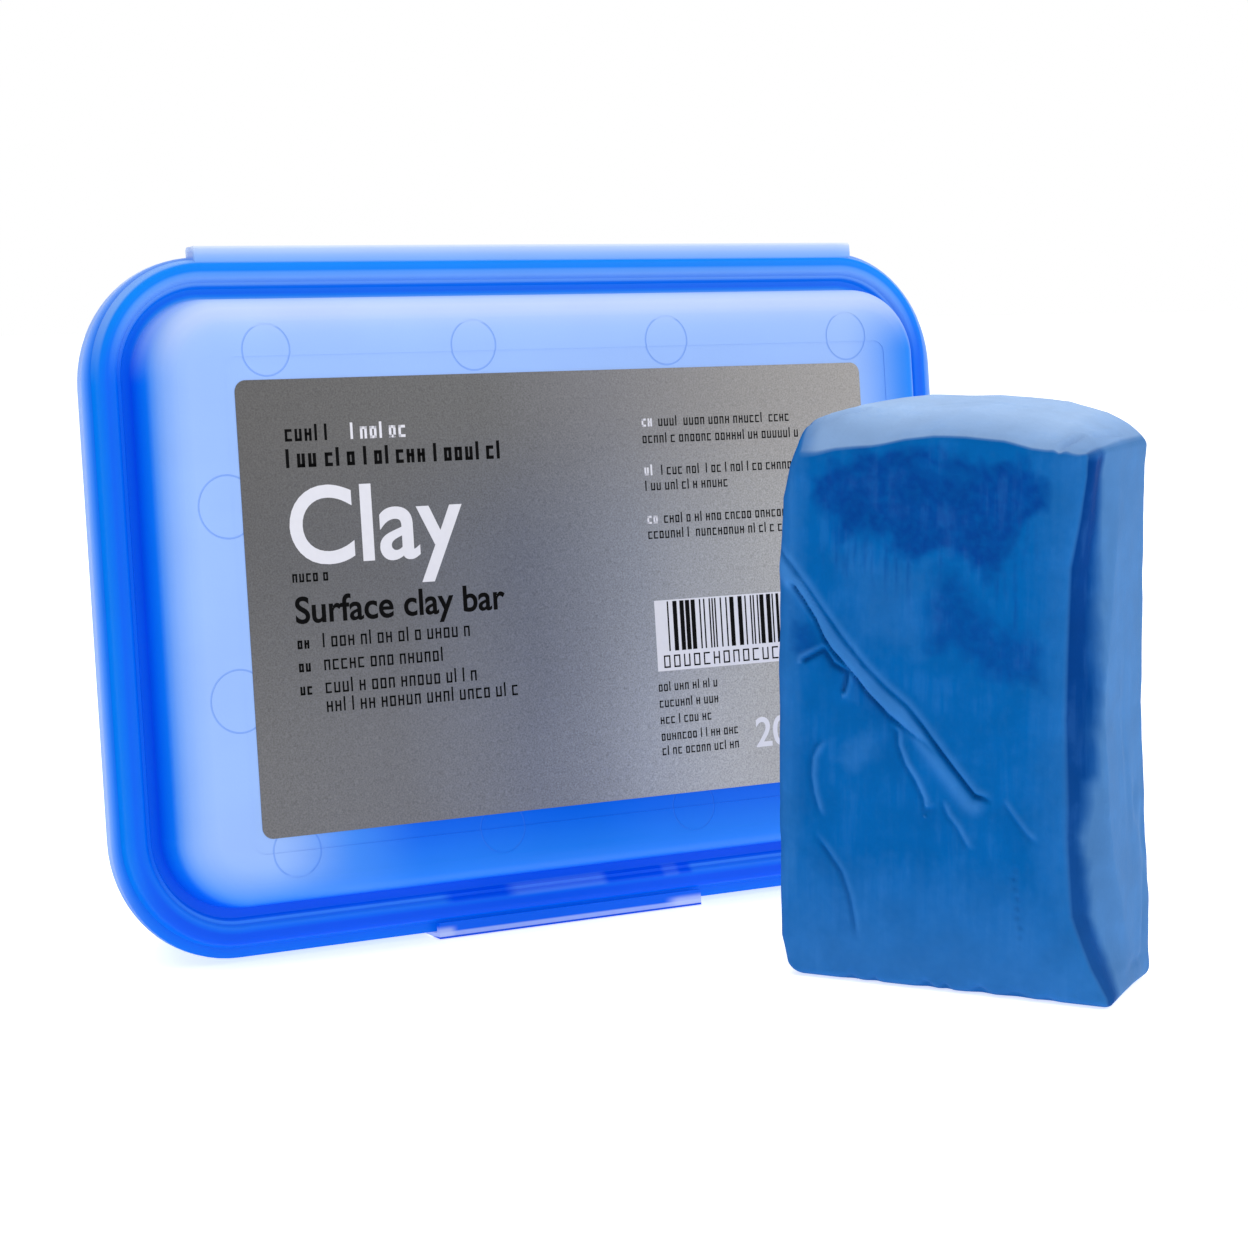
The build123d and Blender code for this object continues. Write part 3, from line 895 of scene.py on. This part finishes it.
# Nicks of the front foot: along, half width and depth.
FOOT_NICKS = [
    (12.5, 1.2, 0.5), (16.8, 0.9, 0.6), (27.0, 1.3, 0.9), (30.6, 0.9, 0.8), (37.2, 1.6, 0.9),
    (44.0, 2.2, 0.7), (50.0, 1.4, 0.4),
]

# Pinched creases of the crown: a line of (along, inward) and the depth.
CROWN_CREASES = [
    ([(1.5, 0.5), (6.0, 4.0), (11.0, 9.0)], 0.6), ([(0.5, 4.0), (3.5, 3.0), (4.6, 5.5)], 0.45),
    ([(50.5, 0.5), (51.8, 3.0), (52.4, 6.0)], 0.7), ([(54.0, 8.0), (55.5, 12.0), (56.0, 17.0)], 0.5),
    ([(22.0, 14.0), (32.0, 16.5), (44.0, 15.0)], 0.12),
]


def clay_bar():
    """The bar is a finely ruled block, pressed to shape and then creased, torn and nicked by hand."""
    piece = block((0, 0, 0), CLAY_SIZE)
    for axis, cuts in enumerate(CLAY_CUTS):
        cut_along(piece, axis, *cuts)
    count = len(piece.data.vertices)
    flat = np.zeros(count * 3)
    piece.data.vertices.foreach_get("co", flat)
    flat = flat.reshape(-1, 3)
    shape = clay_shape(flat)
    along, inward, up = shape.T
    middle = shape.mean(0)
    front = np.clip(1 - flat[:, 1] / SOFT_EDGE, 0, 1)
    side = np.clip(1 - (CLAY_SIZE[0] - flat[:, 0]) / SOFT_EDGE, 0, 1)
    below_top = CLAY_SIZE[2] - flat[:, 2]
    crown = np.clip(1 - below_top / SOFT_EDGE, 0, 1)

    # Loose hand-pressed waviness everywhere but at the foot.
    wave = BROAD_WAVE * field(shape, 17.0, 1.0) + SMALL_WAVE * field(shape, 4.5, 2.0)
    outward = (shape - middle) / HALF_EXTENT
    outward = outward * np.abs(outward) ** 6
    outward /= np.maximum(np.linalg.norm(outward, axis=1, keepdims=True), 1e-6)
    shape = shape + outward * (wave * np.clip(up / 3.0, 0, 1))[:, None]

    pressed = front * clay_creases(along, up)
    shape[:, 1] += pressed

    # Hollow channel behind the front right edge, where the wrapper was folded.
    across = np.clip(inward / np.interp(up, SLANT_HEIGHTS, CHANNEL_REACH), 0, 2)
    channel = gauss(across - 0.45, 0.33)
    shape[:, 0] -= side * 0.9 * channel * np.clip((up - 3) / 8, 0, 1) * np.clip((100 - up) / 6, 0, 1)

    # Folds and dents pressed into the right side.
    for dent_in, dent_up, wide, tall, deep in SIDE_DENTS:
        near = gauss(inward - dent_in, wide)
        ring = gauss(inward - dent_in + wide * 1.3, wide)
        shape[:, 0] += side * deep * (0.6 * ring - near) * gauss(up - dent_up, tall)

    # Ragged foot where the block was torn from its slab.
    low = np.clip(1 - up / SOFT_EDGE, 0, 1)
    for nick, wide, deep in FOOT_NICKS:
        bite = front * low * deep * gauss(along - nick, wide)
        shape[:, 1] += 1.2 * bite
        shape[:, 2] += bite

    # Pinched creases at the crown's corners.
    for line, deep in CROWN_CREASES:
        away, _, share = distance_to(line, along, inward)
        fade = np.clip(np.minimum(share + 0.15, 1.15 - share) / 0.3, 0, 1)
        shape[:, 2] -= crown * fade * deep * gauss(away, 0.55)
        shape[:, 2] += crown * fade * deep * 0.5 * gauss(away - 1.1, 0.7)

    shape[:, 2] = np.maximum(shape[:, 2], 0.0)
    row = (CLAY_ORIGIN + shape @ np.stack([FRONT_RUN, INWARD, UPWARD])) * MM
    piece.data.vertices.foreach_set("co", row.ravel())

    # The crown's painted sheen, strongest at the top edge.
    crown = np.clip(1 - below_top / CROWN_EDGE, 0, 1)
    paint_clay(piece, along, inward, up, front, side, crown, shape, pressed)
    only(piece)
    bpy.ops.object.shade_smooth()
    return piece


def inside(polygon, along, up, soft):
    """1 inside a closed outline, 0 outside it, with a soft edge."""
    polygon = list(polygon)
    away, _, _ = distance_to(polygon + polygon[:1], along, up)
    hit = np.zeros(along.shape, bool)
    for (a0, u0), (a1, u1) in zip(polygon, polygon[1:] + polygon[:1]):
        crosses = (u0 > up) != (u1 > up)
        where = (a1 - a0) * (up - u0) / ((u1 - u0) or 1e-9) + a0
        hit ^= crosses & (along < where)
    signed = np.where(hit, -away, away)
    return np.clip(0.5 - signed / soft, 0, 1)


# Outlines on the front face, as (along, up).
DARK_PATCH = [(4.0, 92.0), (8.0, 95.2), (15.5, 97.3), (25.0, 98.0), (33.0, 97.4), (39.0, 95.4),
              (44.0, 95.8), (47.4, 93.0), (48.4, 88.5), (45.0, 86.0), (42.6, 82.6), (40.0, 78.5),
              (37.2, 75.6), (33.4, 78.4), (29.0, 80.4), (24.5, 78.6), (19.5, 80.6), (15.0, 83.5),
              (10.8, 81.0), (7.0, 84.0), (4.4, 87.0)]
DRIP_PATCH = [(5.0, 92.0), (46.0, 92.0), (48.0, 62.0), (30.0, 66.0), (22.0, 72.0), (5.0, 76.0)]
MIDDLE_PATCH = [(28.1, 75.6), (31.0, 76.0), (33.8, 73.0), (37.6, 70.4), (41.0, 66.0), (44.5, 66.5),
                (48.8, 62.6), (48.2, 57.2), (41.0, 57.8), (35.0, 60.5), (31.5, 64.5), (28.0, 62.0),
                (27.4, 69.0)]
LEFT_PATCH = [(0.5, 66.5), (3.5, 66.0), (5.5, 62.5), (4.2, 60.0), (2.0, 58.0), (0.8, 60.5)]
HAZE_PATCH = [(24.0, 95.6), (28.5, 96.6), (33.0, 95.4), (36.5, 93.4), (34.0, 92.4), (29.0, 93.0),
              (25.0, 93.6)]
SMUDGE = [(12.0, 44.0), (16.0, 47.5), (18.0, 45.0), (17.0, 40.5), (13.0, 39.0), (9.5, 41.0)]
BARE_PATCH = [(10, 79), (27, 77), (26, 62), (12, 64)]

# Heights up the bar, and there how far in the channel's painted shade reaches and how softly it ends.
DARK_HEIGHTS, DARK_REACH = [0, 8, 16, 30, 44, 65, 79, 93], [4.5, 5.5, 3.6, 1.9, 2.8, 4.2, 5.2, 5.4]
FADE_HEIGHTS, FADE_WIDTH = [0, 16, 30, 44, 65, 93], [4.0, 1.8, 1.0, 1.2, 3.0, 2.2]


CLAY_LAYERS = ("Glaze", "Haze", "ChannelShade", "Pale", "CrownSheen", "LipHighlight", "CreaseShade")


def paint_clay(piece, along, inward, up, front, side, crown, shape, pressed):
    """Store where the clay is glazed dark, where it is hazed pale, and where light and shade are painted,
    for its material to read.
    """
    a = along + field(shape, 5.0, 5.0, 4) * 1.5
    u = up + field(shape, 5.0, 6.0, 4) * 2.2
    column = np.stack([along / 1.1, np.zeros_like(along), up / 14.0], axis=1)
    streaks = field(column, 1.0, 8.0, 4)
    grain = field(shape, 1.4, 3.0, 3)

    glaze = inside(DARK_PATCH, a, u, 2.4)
    drips = inside(DRIP_PATCH, a, u, 8.0) * np.clip(streaks * 1.8 - 0.15, 0, 1)
    glaze = np.maximum(glaze, 0.5 * drips)
    glaze = np.maximum(glaze, 0.75 * inside(MIDDLE_PATCH, a, u, 3.0))
    glaze = np.maximum(glaze, 0.65 * inside(LEFT_PATCH, a, u, 2.0))
    glaze *= 1 - 0.55 * inside(HAZE_PATCH, a, u, 1.5) * np.clip(0.6 + grain, 0, 1)
    glaze *= front * np.clip(0.85 + 0.3 * grain, 0, 1)

    haze = np.clip((along - 44.0) / 9.0, 0, 1) * 0.42
    haze = np.maximum(haze, np.clip((26.0 - up) / 22.0, 0, 1) * 0.75)
    haze = np.maximum(haze, np.clip((4.0 - along) / 4.0, 0, 1) * 0.5)
    haze = np.maximum(haze, 0.35 * inside(SMUDGE, a, u, 3.0))
    haze = np.maximum(haze, 0.30 * inside(BARE_PATCH, a, u, 6.0))
    haze = np.clip(haze + 0.10 * streaks * np.clip(up / 20, 0, 1) + 0.08 * grain, 0, 1) * front
    haze *= 1 - 0.8 * glaze

    # Painted shade in the hollow channel behind the front right edge.
    edge = np.clip(side * 2.5 - 1.5, 0, 1)
    reach = np.interp(up, DARK_HEIGHTS, DARK_REACH) + field(shape, 6.0, 11.0, 3) * 0.4
    softness = np.interp(up, FADE_HEIGHTS, FADE_WIDTH)
    channel = edge * np.clip(0.5 + (reach - inward) / softness, 0, 1) * np.clip((99.5 - up) / 3, 0, 1)
    channel *= 0.72 + 0.28 * np.clip((up - 10) / 50, 0, 1)
    # Painted light: the right side and the crown are painted paler where light falls on them; the side less
    # so low at its back, all faces more so towards the back, the crown less so at its front and ends, and
    # both little at the front left corner.
    pale = np.clip(np.maximum(crown, edge * (1 - channel)), 0, 1)
    pale *= 1 - 0.35 * np.clip((inward - 24) / 3, 0, 1) * np.clip((62 - up) / 30, 0, 1) * (1 - crown)
    through = np.clip(inward / CLAY_SIZE[1], 0, 1)
    pale = np.maximum(pale, np.clip((through - 0.5) * 2, 0, 1) * 0.6)
    crown = crown * (0.6 + 0.4 * np.clip((inward - 1.5) / 10, 0, 1))
    crown = crown * (1 - 0.5 * np.clip((along - 49) / 8, 0, 1)) * (1 - 0.4 * np.clip((6 - along) / 6, 0, 1))
    corner = np.clip((5.0 - along) / 4, 0, 1) * np.clip((7 - inward) / 5, 0, 1)
    crown = crown * (1 - 0.7 * corner)
    pale = pale * (1 - 0.7 * corner)

    # Painted highlights on the raised lips beside the creases, and painted shade in the creases themselves.
    lip = 0.5 * np.clip(-pressed / 0.5, 0, 1) * (1 - crown)
    crease_shade = 0.6 * np.clip(pressed / 0.7, 0, 1)
    for name, values in zip(CLAY_LAYERS, (glaze, haze, channel, pale, crown, lip, crease_shade)):
        layer = piece.data.attributes.new(name, "FLOAT", "POINT")
        layer.data.foreach_set("value", values.astype(np.float32))


def clay_material():
    """Matt kneaded clay: dark where a film smoothed it, hazed and streaked elsewhere, with painted light on
    its lit top and right side, painted shade in its channel and creases, and painted highlights on its lips.
    """
    made, tree, shader = material("Kneaded clay")
    layers = {}
    for name in CLAY_LAYERS:
        layers[name] = add(tree, "ShaderNodeAttribute", attribute_name=name).outputs["Fac"]
    where = object_place(tree)
    drawn = mapped(tree, mapped(tree, where, turn=(0, 0, -CLAY_TURN)), scale=(1.0, 1.0, 0.09))
    streak = noise_value(tree, drawn, 620.0, 3.0)
    cloud = noise_value(tree, where, 130.0, 5.0)
    fine = noise_value(tree, where, 1500.0, 3.0)

    body = tint(0, 90, 162)
    # The side's and crown's layers are painted light, the channel's and creases' painted shade, and the
    # lips' painted highlights; glaze and haze are the clay's own colour.
    for name, colour in (
        ("Haze", (47, 111, 178)), ("Glaze", (0, 62, 138)), ("Pale", (67, 114, 168)),
        ("CrownSheen", (152, 181, 220)), ("ChannelShade", (0, 54, 122)), ("LipHighlight", (70, 135, 205)),
        ("CreaseShade", (0, 55, 120)),
    ):
        body = blend_colour(tree, layers[name], body, tint(*colour))
    streaked = all_of(tree, step(tree, streak, 0.42, 0.66), step(tree, cloud, 0.45, 0.62), 0.08)
    body = blend_colour(tree, streaked, body, tint(70, 130, 198))
    body = scaled(tree, body, maths(tree, "MULTIPLY_ADD", centred(tree, cloud), 0.35, 1.0))

    rough = maths(tree, "MULTIPLY_ADD", layers["Glaze"], -0.12, 0.62)
    rough = maths(tree, "MULTIPLY_ADD", centred(tree, cloud), 0.2, rough)
    relief = maths(tree, "MULTIPLY_ADD", streak, 0.15, all_of(tree, fine, 0.5))
    relief = maths(tree, "MULTIPLY_ADD", cloud, 0.8, relief)
    wire(tree, shader, Base_Color=body, Roughness=rough, IOR=1.45)
    wire(tree, shader, Normal=bump(tree, relief, 0.35, 0.4 * MM))
    shader.inputs["Specular IOR Level"].default_value = 0.03
    return made


clay = clay_bar()
wear_material(clay, clay_material())
finished(clay, "clay_block")
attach(clay, "clay")
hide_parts("clay_bar")


# ---------------------------------------------------------------- floor, light and camera

WHITE = (1.0, 1.0, 1.0, 1.0)
FLOOR_SIZE = 6.0            # metres
FLOOR_DROP = 0.2 * MM       # keeps the floor clear of what stands on it
FLOOR_GLOW = 0.65
CENTRE = (cad_low + cad_high) / 2


def floor():
    """Plain pale floor, a little luminous like a light table."""
    bpy.ops.mesh.primitive_plane_add(size=FLOOR_SIZE, location=(0.0, 0.0, -FLOOR_DROP))
    piece = bpy.context.active_object
    made, tree, shader = material("Pale floor")
    soft = noise_value(tree, object_place(tree), 3.0, 2.0)
    colour = blend_colour(tree, soft, (0.93, 0.93, 0.935, 1), (0.95, 0.95, 0.955, 1))
    wire(tree, shader, Base_Color=colour, Roughness=0.9, Emission_Color=WHITE, Emission_Strength=FLOOR_GLOW)
    wear_material(piece, made)
    finished(piece, "floor")
    piece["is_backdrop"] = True


def soft_light(name, offset, size, power):
    """A large square lamp at an offset from the object's centre, aimed at the centre."""
    lamp = bpy.data.lights.new(name, "AREA")
    lamp.energy, lamp.size = power, size
    holder = bpy.data.objects.new(name, lamp)
    holder.location = CENTRE + Vector(offset)
    holder.rotation_euler = (-Vector(offset)).to_track_quat("-Z", "Y").to_euler()
    bpy.context.collection.objects.link(holder)


SKY = 0.66                  # how much the surround lights the object; it looks full white itself


def studio():
    """An even white surround with a key from the right, a top light and a weak back light."""
    world = bpy.data.worlds.new("Studio")
    bpy.context.scene.world = world
    world.use_nodes = True
    sky = world.node_tree
    glow = sky.nodes["Background"]
    glow.inputs["Color"].default_value = WHITE
    seen = add(sky, "ShaderNodeLightPath").outputs["Is Camera Ray"]
    sky.links.new(maths(sky, "MULTIPLY_ADD", seen, 1.0 - SKY, SKY), glow.inputs["Strength"])
    soft_light("Key", (0.75, -0.75, 0.45), size=0.8, power=4.0)
    soft_light("Top", (0.0, 0.05, 0.9), size=1.0, power=4.5)
    soft_light("Back", (0.4, 0.9, 0.5), size=0.9, power=2.0)


CAMERA_OFFSET = Vector((-0.30658, -0.49436, 0.07183))
CAMERA_FORWARD = Vector((0.51393, 0.84806, -0.12907)).normalized()
FOCAL_LENGTH, SENSOR_WIDTH = 90.0, 36.0


def camera():
    """The camera looks a little down and to the right, from the left front."""
    lens = bpy.data.cameras.new("Camera")
    lens.lens, lens.sensor_width = FOCAL_LENGTH, SENSOR_WIDTH
    lens.clip_start, lens.clip_end = 0.01, 20.0
    holder = bpy.data.objects.new("Camera", lens)
    right = CAMERA_FORWARD.cross(Vector((0, 0, 1))).normalized()
    top = right.cross(CAMERA_FORWARD)
    turn = Matrix((right, top, -CAMERA_FORWARD)).transposed().to_4x4()
    holder.matrix_world = Matrix.Translation(CENTRE + CAMERA_OFFSET) @ turn
    bpy.context.collection.objects.link(holder)
    bpy.context.scene.camera = holder


floor()
studio()
camera()
bpy.context.scene.view_settings.view_transform = "Standard"

low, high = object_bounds()
